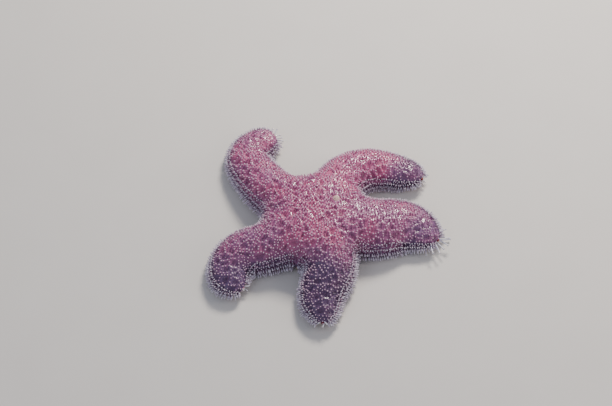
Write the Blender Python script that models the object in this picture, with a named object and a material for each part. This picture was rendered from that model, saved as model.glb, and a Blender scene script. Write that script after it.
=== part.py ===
"""A life-size ochre sea star lying on a flat floor: a thick body with five bent arms, blunt spines over the
back and margins, tube feet in the grooves below, and a sieve plate, mouth and eyespots. Lengths are in
metres, +Z is up, and the tube feet stand on Z = 0."""

import math
import random

import bmesh
import bpy
from mathutils import Matrix, Vector
from mathutils.bvhtree import BVHTree

# Body
DISC_AT = Vector((-0.0127, -0.0014, 0.0))  # puts the middle of the whole star's box over the origin
SECTOR = 72.0  # degrees of the disc that each arm owns
SECTOR_HALF = math.radians(SECTOR / 2)
NOTCH_RADIUS = 0.053  # from the middle of the disc to the notch between two arms
NOTCH_S = NOTCH_RADIUS * math.cos(SECTOR_HALF)  # the notch's place along an arm's centre line
NOTCH_WIDTH = NOTCH_RADIUS * math.sin(SECTOR_HALF)
DISC_HEIGHT = 0.039
TAPER_POWER = 1.6  # how late an arm narrows
WEB_REACH = 0.0035  # how quickly the notch's web falls back to the arm's own side
SHOULDER_HEIGHT = 0.0355  # of the back where the arms part
TIP_HEIGHT = 0.014  # height of the back just before the rounded end
BACK_POWER = 1.1  # how late the back falls along an arm
BACK_ROUND = 2.2  # superellipse of the back's section
MARGIN_SHARE = 0.32  # height of the widest line, as a share of the back's height
MARGIN_ONSET = 3  # how late the margin takes shape on the way from the middle of the disc to a notch
SOLE = 0.0012  # the flats beside a groove, above the floor
FLAT_EDGE = 0.84  # where the flats end and the lower side starts, as a share of the half width
END_PLATE = 0.0004  # what the flat end plate takes off an arm's length
TIP_LIFT = 0.004  # how far an arm's last stretch curls up
LIFT_LENGTH = 0.026

# Grooves and mouth
GROOVE_HALF_WIDTH = 0.0062
GROOVE_DEPTH_SHARE = 0.24  # depth of a groove, as a share of the back's height
GROOVE_ROOF_SHARE = 0.55  # width of a groove's roof, as a share of its mouth
GROOVE_MOST = 0.55  # most of the half width that a groove may take
MOUTH_RADIUS = 0.009
MOUTH_ROOF = 0.0105

# Arms: name, length, half width, the share of it that is lost by the tip, the length and roundness of the
# tip, how far the feelers reach beyond it, and the turns in degrees (to the left is positive) of the root,
# middle and end
FIRST_HEADING = -5.3
ARMS = (
    ("arm_right", 0.122, 0.0310, 0.36, 0.032, 1.7, 0.0140, (21.0, -50.0, 8.0)),
    ("arm_rear_right", 0.147, 0.0232, 0.42, 0.024, 2.4, 0.0045, (-27.0, -42.0, -23.0)),
    ("arm_rear_left", 0.153, 0.0230, 0.34, 0.022, 3.0, 0.0080, (-11.0, -12.0, -84.0)),
    ("arm_left", 0.130, 0.0246, 0.34, 0.024, 2.6, 0.0045, (-23.0, 70.0, 90.0)),
    ("arm_front", 0.118, 0.0234, 0.46, 0.025, 2.2, 0.0060, (-38.0, 34.0, -20.0)),
)
BENDS_AT = (NOTCH_S + 0.0045, 0.070, 0.101, 0.135)  # where the three turns start and end along an arm
BEND_SOFTENING = (-0.004, -0.002, 0.0, 0.002, 0.004)
TRACE_STEP = 0.0005
NORMAL_STEP, NORMAL_SHARE = 0.0006, 0.02  # how far along and across the slope of the back is read

# How the body is parted
DISC_EDGE = 0.054  # along each arm
MIDDLE_FROM, TIP_FROM = 0.36, 0.675  # cuts, as shares of the arm beyond the disc
GAP = 0.0003
STRETCHES = ("root", "middle", "tip")

# Mesh density
STATION_STEP = 0.0085
TIP_STATIONS = 5
DISC_STATIONS = (0.0, 0.0088, 0.0104, 0.020, 0.028, 0.034)
BACK_COLUMNS = 9
LOWER_SIDE = 0.95  # a column on the rounded lower side
WELD = 1e-5
CUT_WELD = 4e-5  # takes up the slivers that a cut leaves
CREASE = math.radians(50.0)  # edges that bend more than this stay sharp

# Spines: blunt frusta in rows along the back, and a longer comb along the margins
SPINE_SIDES = 5
SPINE_SUNK = 0.0015
SPINE_SPREAD = 7.0  # degrees that a spine leans either way
SPINE_VARIES = 0.15  # share of its height by which a spine is longer or shorter than its fellows
SPINE_ROOM = 0.0046  # between two spines
NODE_ROOM = 0.0013  # between a spine and another node
CUT_ROOM = 0.0020  # between a spine's axis and a cut
BACK_SPINE = (0.00095, 0.00070, 0.0021)  # root radius, tip radius, height
BACK_ROWS = (  # share of the half width, where the row starts, and its stagger in spacings
    (0.0, 0.008, 0.0),
    (0.36, 0.013, 0.5),
    (-0.36, 0.013, 0.5),
    (0.70, 0.017, 0.0),
    (-0.70, 0.017, 0.0),
)
BACK_SPACING = 0.0120
BACK_END = 0.0035  # how far from the tip the rows stop
COMB_SPINE = (0.00095, 0.00060, 0.0036)
COMB_SPACING = 0.0094
COMB_START = 0.0065  # past the notch
COMB_END = 0.0030
COMB_DROOP = 14.0  # degrees below level

# Tube feet stand on the floor in two rows in each groove, and a few slim ones feel ahead of each tip
FOOT_SIDES = 5
FOOT_SPACING = 0.0128
FOOT_STAGGER = 0.25  # the left row stands this share of the spacing ahead, and the right row behind
FOOT_FROM, FOOT_SHORT_OF_TIP = 0.0150, 0.0240
FOOT_ROW, FOOT_SPLAY = 0.30, 0.22  # across the groove, and how much farther out the sole stands
FOOT_RADII = (0.00135, 0.00100, 0.00185)  # root, neck and sole
FOOT_NECK_HEIGHT = 0.0013
FOOT_SUNK = 0.0018
FOOT_CUT_ROOM = 0.0030
FEELERS = ((-0.0023, -45.0), (0.0, 0.0), (0.0023, 45.0))  # across the tip, and degrees to either side
FEELER_FROM = 0.0085  # from the tip back to the root
FEELER_SUNK = 0.0022
FEELER_HEIGHT = 0.0011  # of the sucker's middle above the floor
FEELER_RADII = (0.00085, 0.00062, 0.00095)  # root, neck and sucker
FEELER_NECK = 0.85  # the neck's place along it

# Sieve plate, mouth ring and eyespots
SIEVE_RADIUS = 0.0034
SIEVE_RISE = 0.0011
SIEVE_FROM_MIDDLE = 0.021
SIEVE_DEPTH = 0.0014
SIEVE_PROUD = 0.0003  # how far the plate's rim stands above the skin
SIEVE_DOME = ((0.82, 0.55), (0.45, 1.0), (0.0, 1.0))  # shares of its radius and rise
SIEVE_STEPS = 14
SOCKET_REACH = 0.0051  # the socket's cutter passes this far beyond the skin
MOUTH_STEPS = 15
MOUTH_RING = (  # section of the ring: distance out, and down from its top
    (0.0020, 0.0),
    (0.0074, 0.0),
    (0.0074, 0.0024),
    (0.0054, 0.0043),
    (0.0033, 0.0039),
    (0.0020, 0.0018),
)
EYE_HALF_WIDTH, EYE_HALF_HEIGHT, EYE_DEPTH = 0.0015, 0.0009, 0.0013
EYE_SIDES, EYE_RINGS = 8, 6


def smooth(x):
    """0 to 1 with level ends."""
    x = min(1.0, max(0.0, x))
    return x * x * (3 - 2 * x)


class Arm:
    """One arm: its centre line on the floor, and the sizes of its section at a distance s along it."""

    def __init__(self, index, name, length, width, taper, tip_length, tip_roundness, feelers, turns):
        self.name = name
        self.length = length
        self.width = width
        self.taper = taper
        self.tip_length = tip_length
        self.tip_roundness = tip_roundness
        self.feelers = feelers
        self.end = length - END_PLATE
        self.headings = [FIRST_HEADING + SECTOR * index]
        for turn in turns:
            self.headings.append(self.headings[-1] + turn)
        self.trace = [(0.0, 0.0)]
        for step in range(int(length / TRACE_STEP) + 2):
            heading = self.heading((step + 0.5) * TRACE_STEP)
            x, y = self.trace[-1]
            self.trace.append((x + TRACE_STEP * math.cos(heading), y + TRACE_STEP * math.sin(heading)))
        beyond = self.end - DISC_EDGE
        self.cuts = (DISC_EDGE, DISC_EDGE + MIDDLE_FROM * beyond, DISC_EDGE + TIP_FROM * beyond, self.end)

    def heading(self, s):
        """Direction of the centre line in radians, softened where one turn passes into the next."""
        total = 0.0
        for offset in BEND_SOFTENING:
            at = min(BENDS_AT[-1], max(BENDS_AT[0], s + offset))
            for i in range(3):
                if at <= BENDS_AT[i + 1]:
                    share = (at - BENDS_AT[i]) / (BENDS_AT[i + 1] - BENDS_AT[i])
                    total += self.headings[i] + share * (self.headings[i + 1] - self.headings[i])
                    break
        return math.radians(total / len(BEND_SOFTENING))

    def place(self, s, across, z):
        """The point at s along the arm, across to its left, and z above the floor."""
        step = min(len(self.trace) - 2, int(s / TRACE_STEP))
        share = s / TRACE_STEP - step
        x = self.trace[step][0] * (1 - share) + self.trace[step + 1][0] * share
        y = self.trace[step][1] * (1 - share) + self.trace[step + 1][1] * share
        heading = self.heading(s)
        lift = TIP_LIFT * smooth((s - self.length + LIFT_LENGTH) / LIFT_LENGTH)
        return DISC_AT + Vector((x - across * math.sin(heading), y + across * math.cos(heading), z + lift))

    def fullness(self, s):
        """1 along the arm, falling to 0 round its tip."""
        into_tip = min(1.0, max(0.0, (s - self.length + self.tip_length) / self.tip_length))
        return math.sqrt(max(0.0, 1 - into_tip**self.tip_roundness))

    def half_width(self, s):
        if s <= NOTCH_S:
            return s * math.tan(SECTOR_HALF)
        share = (s - NOTCH_S) / (self.length - NOTCH_S)
        side = self.width * (1 - self.taper * share**TAPER_POWER)
        web = (NOTCH_WIDTH - self.width) * math.exp(-(s - NOTCH_S) / WEB_REACH)
        return (side + web) * self.fullness(s)

    def edge(self, s, v):
        """0 on the crest and 1 on the margin. Inside the disc the margin is reached only at a notch."""
        return min(1.0, abs(v)) * min(1.0, s / NOTCH_S) ** MARGIN_ONSET

    def heights(self, s):
        """Heights of the crest and of the margin."""
        if s < NOTCH_S:
            crest = DISC_HEIGHT - (DISC_HEIGHT - SHOULDER_HEIGHT) * (s / NOTCH_S) ** 2
        else:
            share = min(1.0, (s - NOTCH_S) / (self.length - NOTCH_S))
            crest = SHOULDER_HEIGHT - (SHOULDER_HEIGHT - TIP_HEIGHT) * share**BACK_POWER
        margin = MARGIN_SHARE * crest
        return margin + (crest - margin) * self.fullness(s), margin

    def back(self, s, v):
        """A point of the upper surface; v runs from -1 to 1 across the arm."""
        crest, margin = self.heights(s)
        rise = math.sqrt(1 - self.edge(s, v) ** BACK_ROUND)
        return self.place(s, v * self.half_width(s), margin + (crest - margin) * rise)

    def back_normal(self, s, v):
        """The way that the back faces, read a little inside the margin."""
        v = max(NORMAL_SHARE - 1, min(1 - NORMAL_SHARE, v))
        along = self.back(s + NORMAL_STEP, v) - self.back(s - NORMAL_STEP, v)
        across = self.back(s, v + NORMAL_SHARE) - self.back(s, v - NORMAL_SHARE)
        return along.cross(across).normalized()

    def groove(self, s):
        """Half width of the groove at its mouth, and its roof's height above the flats."""
        crest, _ = self.heights(s)
        taper = self.half_width(s) / self.width if s > DISC_EDGE else 1.0
        half = min(GROOVE_HALF_WIDTH * taper, GROOVE_MOST * self.half_width(s))
        return half, GROOVE_DEPTH_SHARE * crest

    def belly_columns(self, s):
        """The lower surface from right to left: shares of the half width, and which part of it each is."""
        half, _ = self.groove(s)
        lip = half / self.half_width(s) if s > 0 else GROOVE_MOST
        outer = [(-1.0, "side"), (-LOWER_SIDE, "side"), (-FLAT_EDGE, "side"), (-lip, "lip")]
        roof = [(-lip * GROOVE_ROOF_SHARE, "roof"), (lip * GROOVE_ROOF_SHARE, "roof")]
        return outer + roof + [(-v, kind) for v, kind in reversed(outer)]

    def belly(self, s, v, kind):
        """A point of the lower surface."""
        _, margin = self.heights(s)
        up_side = max(0.0, (self.edge(s, v) - FLAT_EDGE) / (1 - FLAT_EDGE))
        z = SOLE + (margin - SOLE) * (1 - math.sqrt(1 - up_side**2))
        if kind == "roof":
            z += self.groove(s)[1]
        if s < MOUTH_RADIUS:
            z = MOUTH_ROOF
        full = self.fullness(s)
        return self.place(s, v * self.half_width(s), margin * (1 - full) + z * full)


def stations(arm, start, stop):
    """Distances along an arm for its rings, closer together round the tip."""
    shoulder = arm.length - arm.tip_length
    found = [start]
    if start < shoulder:
        reach = min(stop, shoulder) - start
        count = max(1, round(reach / STATION_STEP))
        found += [start + reach * (i + 1) / count for i in range(count)]
    if stop > shoulder:
        first = math.asin(max(0.0, start - shoulder) / arm.tip_length)
        last = math.asin((stop - shoulder) / arm.tip_length)
        for i in range(TIP_STATIONS):
            turn = first + (last - first) * (i + 1) / TIP_STATIONS
            found.append(shoulder + arm.tip_length * math.sin(turn))
    return found


def add_sheet(bm, rows, columns, place):
    """A grid of rows by columns of points, each put where place(row, column) says."""
    made = bmesh.ops.create_grid(bm, x_segments=rows - 1, y_segments=columns - 1, size=1.0)
    for vertex in made["verts"]:
        row = round((vertex.co.x + 1) / 2 * (rows - 1))
        column = round((vertex.co.y + 1) / 2 * (columns - 1))
        vertex.co = place(row, column)


def add_skin(bm, arm, along):
    """The upper and lower surface of one arm over the given stations."""
    shares = [math.sin(math.pi * (i / (BACK_COLUMNS - 1) - 0.5)) for i in range(BACK_COLUMNS)]
    add_sheet(bm, len(along), BACK_COLUMNS, lambda row, column: arm.back(along[row], shares[column]))
    belly = [arm.belly_columns(s) for s in along]
    add_sheet(bm, len(along), len(belly[0]), lambda row, column: arm.belly(along[row], *belly[row][column]))


def close_skin(bm):
    """Joins the sheets along their edges and caps the cut ends with flat faces."""
    bmesh.ops.remove_doubles(bm, verts=bm.verts, dist=WELD)
    bmesh.ops.holes_fill(bm, edges=[e for e in bm.edges if e.is_boundary], sides=0)
    bmesh.ops.triangulate(bm, faces=bm.faces, ngon_method="BEAUTY")
    bmesh.ops.recalc_face_normals(bm, faces=bm.faces)


def shade(mesh):
    mesh.shade_smooth()
    mesh.set_sharp_from_angle(angle=CREASE)


def add_object(name, bm, material):
    mesh = bpy.data.meshes.new(name)
    bm.to_mesh(mesh)
    bm.free()
    mesh.materials.append(material)
    shade(mesh)
    made = bpy.data.objects.new(name, mesh)
    bpy.context.scene.collection.objects.link(made)
    return made


def add_material(name, colour, roughness):
    material = bpy.data.materials.new(name)
    material.use_nodes = True
    shader = material.node_tree.nodes["Principled BSDF"]
    shader.inputs["Base Color"].default_value = (*colour, 1.0)
    shader.inputs["Roughness"].default_value = roughness
    shader.inputs["Metallic"].default_value = 0.0
    return material


def node_name(arm, s):
    """The node that carries the arm's length s."""
    return "disc" if s < arm.cuts[0] else f"{arm.name}_{STRETCHES[sum(s > cut for cut in arm.cuts[1:3])]}"


def clear_of_cuts(arm, s, room):
    """Shifts s to the nearest place that keeps room to every cut."""
    for cut in arm.cuts[:3]:
        if abs(s - cut) < room:
            s = cut + (room if s >= cut else -room)
    return s


def walk(arm, v, start, stop, spacing, offset):
    """Places along an arm at share v of its half width, spacing apart on the surface."""
    s, last, gone = start, arm.back(start, v), -offset * spacing
    found = []
    while s < stop:
        here = arm.back(s, v)
        gone += (here - last).length
        last = here
        if gone >= 0:
            found.append(s)
            gone -= spacing
        s += TRACE_STEP
    return found


def add_spine(root, direction, sizes):
    """A blunt spine standing on its root, with the rest of its length sunk in the flesh."""
    root_radius, tip_radius, height = sizes
    depth = height + SPINE_SUNK
    middle = root + direction * (depth / 2 - SPINE_SUNK)
    bm = bmesh.new()
    bmesh.ops.create_cone(
        bm,
        cap_ends=True,
        segments=SPINE_SIDES,
        radius1=root_radius,
        radius2=tip_radius,
        depth=depth,
        matrix=Matrix.Translation(middle) @ direction.to_track_quat("Z", "Y").to_matrix().to_4x4(),
    )
    return add_object("spine", bm, bpy.data.materials["spine_white"])


class SpineField:
    """Collects the spines of every node, and turns away one that would crowd another or touch a node."""

    def __init__(self, bodies, barred, seed):
        self.bodies = bodies
        self.barred = barred
        self.draw = random.Random(seed)
        self.taken = []
        self.by_node = {name: [] for name in bodies}

    def plant(self, name, surface, normal, sizes):
        """Stands a spine where a line down the normal meets the body's flat faces, if there is room."""
        root = self.bodies[name].ray_cast(surface + normal * sizes[2], -normal)[0]
        if root is None:
            return
        swing = [self.draw.uniform(-SPINE_SPREAD, SPINE_SPREAD) for _ in range(3)]
        lean = Vector([math.tan(math.radians(angle)) for angle in swing])
        direction = (normal + lean - lean.project(normal)).normalized()
        height = sizes[2] * self.draw.uniform(1 - SPINE_VARIES, 1 + SPINE_VARIES)
        points = [root + direction * (height * share) for share in (0.0, 0.5, 1.0)]
        if any((point - other).length < SPINE_ROOM for point in points for other in self.taken):
            return
        if any((point - centre).length < room for point in points for centre, room in self.barred):
            return
        sunk = root - direction * SPINE_SUNK
        for other, body in self.bodies.items():
            if other != name and any(body.find_nearest(point, NODE_ROOM)[0] for point in (sunk, *points)):
                return
        self.taken += points
        self.by_node[name].append(add_spine(root, direction, (sizes[0], sizes[1], height)))


def plant_back(field, arm):
    for v, start, offset in BACK_ROWS:
        for s in walk(arm, v, start, arm.length - BACK_END, BACK_SPACING, offset):
            s = clear_of_cuts(arm, s, CUT_ROOM)
            field.plant(node_name(arm, s), arm.back(s, v), arm.back_normal(s, v), BACK_SPINE)


def plant_combs(field, arm):
    droop = math.radians(COMB_DROOP)
    for side in (-1, 1):
        for s in walk(arm, side, NOTCH_S + COMB_START, arm.length - COMB_END, COMB_SPACING, 0.0):
            s = clear_of_cuts(arm, s, CUT_ROOM)
            along = arm.back(s + TRACE_STEP, side) - arm.back(s - TRACE_STEP, side)
            out = Vector((-along.y, along.x, 0.0)).normalized() * side
            direction = out * math.cos(droop) - Vector((0, 0, math.sin(droop)))
            field.plant(node_name(arm, s), arm.back(s, side), direction, COMB_SPINE)


def add_foot(arm, s, side):
    """A tube foot: a stalk from the groove's roof that narrows to a neck and ends in a flat sucker."""
    half, depth = arm.groove(s)
    root_height = SOLE + depth + FOOT_SUNK
    root, neck, sole = [radius * half / GROOVE_HALF_WIDTH for radius in FOOT_RADII]
    profile = (
        (0.0, root_height),
        (root, root_height),
        (neck, FOOT_NECK_HEIGHT),
        (sole, 0.0),
        (0.0, 0.0),
    )
    bm = bmesh.new()
    spin_profile(bm, profile, FOOT_SIDES)
    top = arm.place(s, side * half * FOOT_ROW, 0.0)
    bottom = arm.place(s, side * half * (FOOT_ROW + FOOT_SPLAY), 0.0)
    lean = (top - bottom) / root_height
    for vertex in bm.verts:
        vertex.co += lean * vertex.co.z
    bm.transform(Matrix.Translation((bottom.x, bottom.y, 0.0)))
    return add_object("tube_foot", bm, bpy.data.materials["tube_foot_pale"])


def add_feeler(arm, across, spread):
    """A slim tube foot that reaches out from under an arm's tip, with a small sucker at its end."""
    s = arm.length - FEELER_FROM
    start = arm.place(s, across, arm.belly(s, 0.0, "lip").z - arm.place(s, 0.0, 0.0).z + FEELER_SUNK)
    heading = arm.heading(arm.length) + math.radians(spread)
    tip = arm.place(arm.end, across, 0.0)
    stop = tip + Vector((math.cos(heading), math.sin(heading), 0.0)) * arm.feelers
    stop.z = FEELER_HEIGHT
    length = (stop - start).length
    root, neck, sucker = FEELER_RADII
    profile = ((0.0, length), (sucker, length), (neck, length * FEELER_NECK), (root, 0.0), (0.0, 0.0))
    bm = bmesh.new()
    spin_profile(bm, profile, FOOT_SIDES)
    turn = (stop - start).to_track_quat("Z", "Y").to_matrix().to_4x4()
    bm.transform(Matrix.Translation(start) @ turn)
    return add_object("feeler", bm, bpy.data.materials["tube_foot_pale"])


def plant_feet(pieces, arm):
    count = int((arm.length - FOOT_SHORT_OF_TIP - FOOT_FROM) / FOOT_SPACING) + 1
    for i in range(count):
        for side in (-1, 1):
            s = clear_of_cuts(arm, FOOT_FROM + FOOT_SPACING * (i + side * FOOT_STAGGER), FOOT_CUT_ROOM)
            pieces[node_name(arm, s)].append(add_foot(arm, s, side))
    for across, spread in FEELERS:
        pieces[f"{arm.name}_tip"].append(add_feeler(arm, across, spread))


def outline(node):
    """The node's points and faces, as a search tree takes them."""
    return [v.co for v in node.data.vertices], [tuple(face.vertices) for face in node.data.polygons]


def disc_body(arms):
    bm = bmesh.new()
    along = [*DISC_STATIONS, NOTCH_S, NOTCH_S + WEB_REACH, DISC_EDGE - GAP / 2]
    for arm in arms:
        add_skin(bm, arm, along)
    close_skin(bm)
    return bm


def arm_body(arm, part):
    bm = bmesh.new()
    stop = arm.cuts[part + 1] - (GAP / 2 if part < len(STRETCHES) - 1 else 0.0)
    add_skin(bm, arm, stations(arm, arm.cuts[part] + GAP / 2, stop))
    close_skin(bm)
    return bm


def sieve_seat(arms):
    """Where the sieve plate sits: in the notch's line between the right arm and the one behind it."""
    arm = arms[0]
    s = SIEVE_FROM_MIDDLE * math.cos(SECTOR_HALF)
    normal = arm.back_normal(s, 1.0)
    return Matrix.Translation(arm.back(s, 1.0)) @ normal.to_track_quat("Z", "Y").to_matrix().to_4x4()


def cut_sieve_socket(disc, seat):
    """A flat-bottomed socket in the disc, a gap wider and deeper than the sieve plate."""
    bm = bmesh.new()
    floor = -SIEVE_DEPTH - GAP
    bmesh.ops.create_cone(
        bm,
        cap_ends=True,
        segments=SIEVE_STEPS,
        radius1=SIEVE_RADIUS + GAP,
        radius2=SIEVE_RADIUS + GAP,
        depth=SOCKET_REACH - floor,
        matrix=seat @ Matrix.Translation((0, 0, (SOCKET_REACH + floor) / 2)),
    )
    cutter = add_object("sieve_socket_cutter", bm, disc.data.materials[0])
    apply_boolean(disc, "DIFFERENCE", [cutter])


def add_sieve_plate(seat, material):
    """The sieve plate is a low round dome with a flat back, sunk in its socket."""
    bm = bmesh.new()
    profile = [(0.0, -SIEVE_DEPTH), (SIEVE_RADIUS, -SIEVE_DEPTH), (SIEVE_RADIUS, 0.0)]
    profile += [(SIEVE_RADIUS * out, SIEVE_RISE * up) for out, up in SIEVE_DOME]
    spin_profile(bm, profile, SIEVE_STEPS)
    bm.transform(seat @ Matrix.Translation((0, 0, SIEVE_PROUD)))
    return add_object("sieve_plate", bm, material)


def spin_profile(bm, profile, steps):
    """Turns a profile of (radius, height) points round Z into a closed body."""
    points = [bm.verts.new((radius, 0.0, z)) for radius, z in profile]
    edges = [bm.edges.new(pair) for pair in zip(points, points[1:])]
    if profile[0][0] > 0:
        edges.append(bm.edges.new((points[-1], points[0])))
    bmesh.ops.spin(
        bm,
        geom=points + edges,
        cent=(0, 0, 0),
        axis=(0, 0, 1),
        angle=math.tau,
        steps=steps,
        use_merge=True,
    )
    bmesh.ops.remove_doubles(bm, verts=bm.verts, dist=WELD)
    bmesh.ops.recalc_face_normals(bm, faces=bm.faces)


def add_mouth(material):
    """The ring of soft skin round the mouth, hung a gap below the roof of the mouth's pit."""
    bm = bmesh.new()
    spin_profile(bm, [(out, MOUTH_ROOF - GAP - down) for out, down in MOUTH_RING], MOUTH_STEPS)
    bm.transform(Matrix.Translation(DISC_AT))
    return add_object("mouth", bm, material)


def add_eyespot(arm, material):
    """The eyespot is a small half dome whose flat back faces the end plate of its arm."""
    bm = bmesh.new()
    bmesh.ops.create_uvsphere(bm, u_segments=EYE_SIDES, v_segments=EYE_RINGS, radius=1.0)
    bmesh.ops.rotate(bm, verts=bm.verts, cent=(0, 0, 0), matrix=Matrix.Rotation(math.radians(90), 3, "Y"))
    whole = [*bm.verts, *bm.edges, *bm.faces]
    bmesh.ops.bisect_plane(bm, geom=whole, plane_co=(0, 0, 0), plane_no=(1, 0, 0), clear_inner=True)
    bmesh.ops.remove_doubles(bm, verts=bm.verts, dist=WELD)
    bmesh.ops.holes_fill(bm, edges=[e for e in bm.edges if e.is_boundary], sides=0)
    bmesh.ops.scale(bm, verts=bm.verts, vec=(EYE_DEPTH, EYE_HALF_WIDTH, EYE_HALF_HEIGHT))
    bmesh.ops.recalc_face_normals(bm, faces=bm.faces)
    centre = (arm.back(arm.end, 0.0) + arm.belly(arm.end, 0.0, "roof")) / 2
    turn = Matrix.Rotation(arm.heading(arm.end), 4, "Z")
    bm.transform(Matrix.Translation(centre) @ turn @ Matrix.Translation((GAP, 0, 0)))
    return add_object(arm.name.replace("arm", "eyespot"), bm, material)


def apply_boolean(target, operation, others):
    """Joins the bodies to the target, or cuts them from it, in one Boolean, and removes them."""
    pieces = bpy.data.collections.new("pieces")
    bpy.context.scene.collection.children.link(pieces)
    for other in others:
        bpy.context.scene.collection.objects.unlink(other)
        pieces.objects.link(other)
    modifier = target.modifiers.new("join", "BOOLEAN")
    modifier.operation = operation
    modifier.operand_type = "COLLECTION"
    modifier.collection = pieces
    modifier.solver = "EXACT"
    modifier.material_mode = "TRANSFER"
    graph = bpy.context.evaluated_depsgraph_get()
    made = bpy.data.meshes.new_from_object(target.evaluated_get(graph))
    target.modifiers.clear()
    target.data = made
    for other in others:
        bpy.data.objects.remove(other)
    bpy.data.collections.remove(pieces)
    keep_largest_surface(target)
    shade(target.data)


def keep_largest_surface(target):
    """Drops every closed surface of the object but the one with the most faces."""
    bm = bmesh.new()
    bm.from_mesh(target.data)
    bmesh.ops.remove_doubles(bm, verts=bm.verts, dist=CUT_WELD)
    bmesh.ops.dissolve_degenerate(bm, edges=bm.edges, dist=CUT_WELD)
    bmesh.ops.delete(bm, geom=[edge for edge in bm.edges if edge.is_wire], context="EDGES")
    bmesh.ops.triangulate(bm, faces=bm.faces, ngon_method="BEAUTY")
    unseen = set(bm.faces)
    surfaces = []
    while unseen:
        grown = [unseen.pop()]
        for face in grown:
            for edge in face.edges:
                for other in edge.link_faces:
                    if other in unseen:
                        unseen.remove(other)
                        grown.append(other)
        surfaces.append(grown)
    surfaces.sort(key=len)
    for surface in surfaces[:-1]:
        bmesh.ops.delete(bm, geom=surface, context="FACES")
    bm.to_mesh(target.data)
    bm.free()


def main():
    for old in list(bpy.data.objects):
        bpy.data.objects.remove(old)
    skin = add_material("skin_mauve", (0.36, 0.12, 0.22), 0.45)
    plate = add_material("sieve_plate_cream", (0.72, 0.60, 0.52), 0.6)
    lips = add_material("mouth_skin", (0.55, 0.34, 0.30), 0.5)
    eye_red = add_material("eyespot_red", (0.45, 0.04, 0.03), 0.35)
    add_material("spine_white", (0.72, 0.58, 0.70), 0.6)
    add_material("tube_foot_pale", (0.62, 0.56, 0.68), 0.4)
    arms = [Arm(index, *arm) for index, arm in enumerate(ARMS)]
    nodes = {"disc": add_object("disc", disc_body(arms), skin)}
    seat = sieve_seat(arms)
    cut_sieve_socket(nodes["disc"], seat)
    add_sieve_plate(seat, plate)
    add_mouth(lips)
    for arm in arms:
        for part, stretch in enumerate(STRETCHES):
            name = f"{arm.name}_{stretch}"
            nodes[name] = add_object(name, arm_body(arm, part), skin)
        add_eyespot(arm, eye_red)

    bodies = {name: BVHTree.FromPolygons(*outline(node)) for name, node in nodes.items()}
    barred = [(seat.translation, SIEVE_RADIUS + SPINE_ROOM)]
    barred += [(arm.back(arm.end, 0.0), EYE_HALF_WIDTH + SPINE_ROOM) for arm in arms]
    field = SpineField(bodies, barred, seed=5)
    for arm in arms:
        plant_back(field, arm)
        plant_combs(field, arm)
        plant_feet(field.by_node, arm)
    for name, pieces in field.by_node.items():
        apply_boolean(nodes[name], "UNION", pieces)


main()
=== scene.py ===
import math
import random

import bmesh
import bpy
import numpy as np
from mathutils import Matrix, Vector, noise


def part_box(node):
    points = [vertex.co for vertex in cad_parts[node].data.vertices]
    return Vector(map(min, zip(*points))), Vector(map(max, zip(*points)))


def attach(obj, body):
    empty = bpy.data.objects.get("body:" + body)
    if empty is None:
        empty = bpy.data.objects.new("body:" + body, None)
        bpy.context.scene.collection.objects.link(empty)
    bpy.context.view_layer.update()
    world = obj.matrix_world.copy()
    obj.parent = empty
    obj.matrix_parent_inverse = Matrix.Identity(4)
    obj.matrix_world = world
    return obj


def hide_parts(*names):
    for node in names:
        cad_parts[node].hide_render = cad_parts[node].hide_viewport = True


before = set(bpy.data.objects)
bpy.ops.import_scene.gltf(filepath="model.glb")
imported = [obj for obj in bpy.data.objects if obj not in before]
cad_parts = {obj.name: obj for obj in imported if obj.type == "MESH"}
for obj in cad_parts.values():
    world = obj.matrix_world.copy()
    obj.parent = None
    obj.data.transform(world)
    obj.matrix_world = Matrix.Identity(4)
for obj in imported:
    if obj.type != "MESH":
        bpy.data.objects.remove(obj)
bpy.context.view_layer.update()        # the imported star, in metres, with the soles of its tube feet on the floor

# The floor is one plain pale board with matt paint rolled on, and is no part of the star. Sizes in this
# file are in metres unless a name ends in MM, and angles that are written out are in degrees.
FLOOR_SIDE = 8.0
FLOOR_PAINT, FLOOR_MOTTLE = "#dcd8d3", "#e2dfda"
PAINT_MOTTLE_MM = 60.0


def linear(colour):
    """A colour picked as sRGB hex, as the linear RGBA that shaders take."""
    channels = [int(colour[i : i + 2], 16) / 255 for i in (1, 3, 5)]
    return (*[c / 12.92 if c <= 0.04045 else ((c + 0.055) / 1.055) ** 2.4 for c in channels], 1.0)


def add_node(tree, kind, inputs=None, **settings):
    """Adds a shader node, sets its properties, and fills its sockets with values or with links."""
    made = tree.nodes.new("ShaderNode" + kind)
    for name, value in settings.items():
        setattr(made, name, value)
    for key, value in (inputs or {}).items():
        if isinstance(value, bpy.types.NodeSocket):
            tree.links.new(value, made.inputs[key])
        else:
            made.inputs[key].default_value = value
    return made


def add_material(name, **sockets):
    """A material with one Principled shader, and the values that are the same all over its surface."""
    material = bpy.data.materials.new(name)
    material.use_nodes = True
    shader = material.node_tree.nodes["Principled BSDF"]
    for socket, value in sockets.items():
        shader.inputs[socket.replace("_", " ")].default_value = value
    return material, material.node_tree, shader


def add_piece(name, bm, material):
    """A finished mesh as an object at the origin."""
    mesh = bpy.data.meshes.new(name)
    bm.to_mesh(mesh)
    bm.free()
    mesh.shade_smooth()
    mesh.materials.append(material)
    piece = bpy.data.objects.new(name, mesh)
    bpy.context.scene.collection.objects.link(piece)
    return piece


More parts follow.
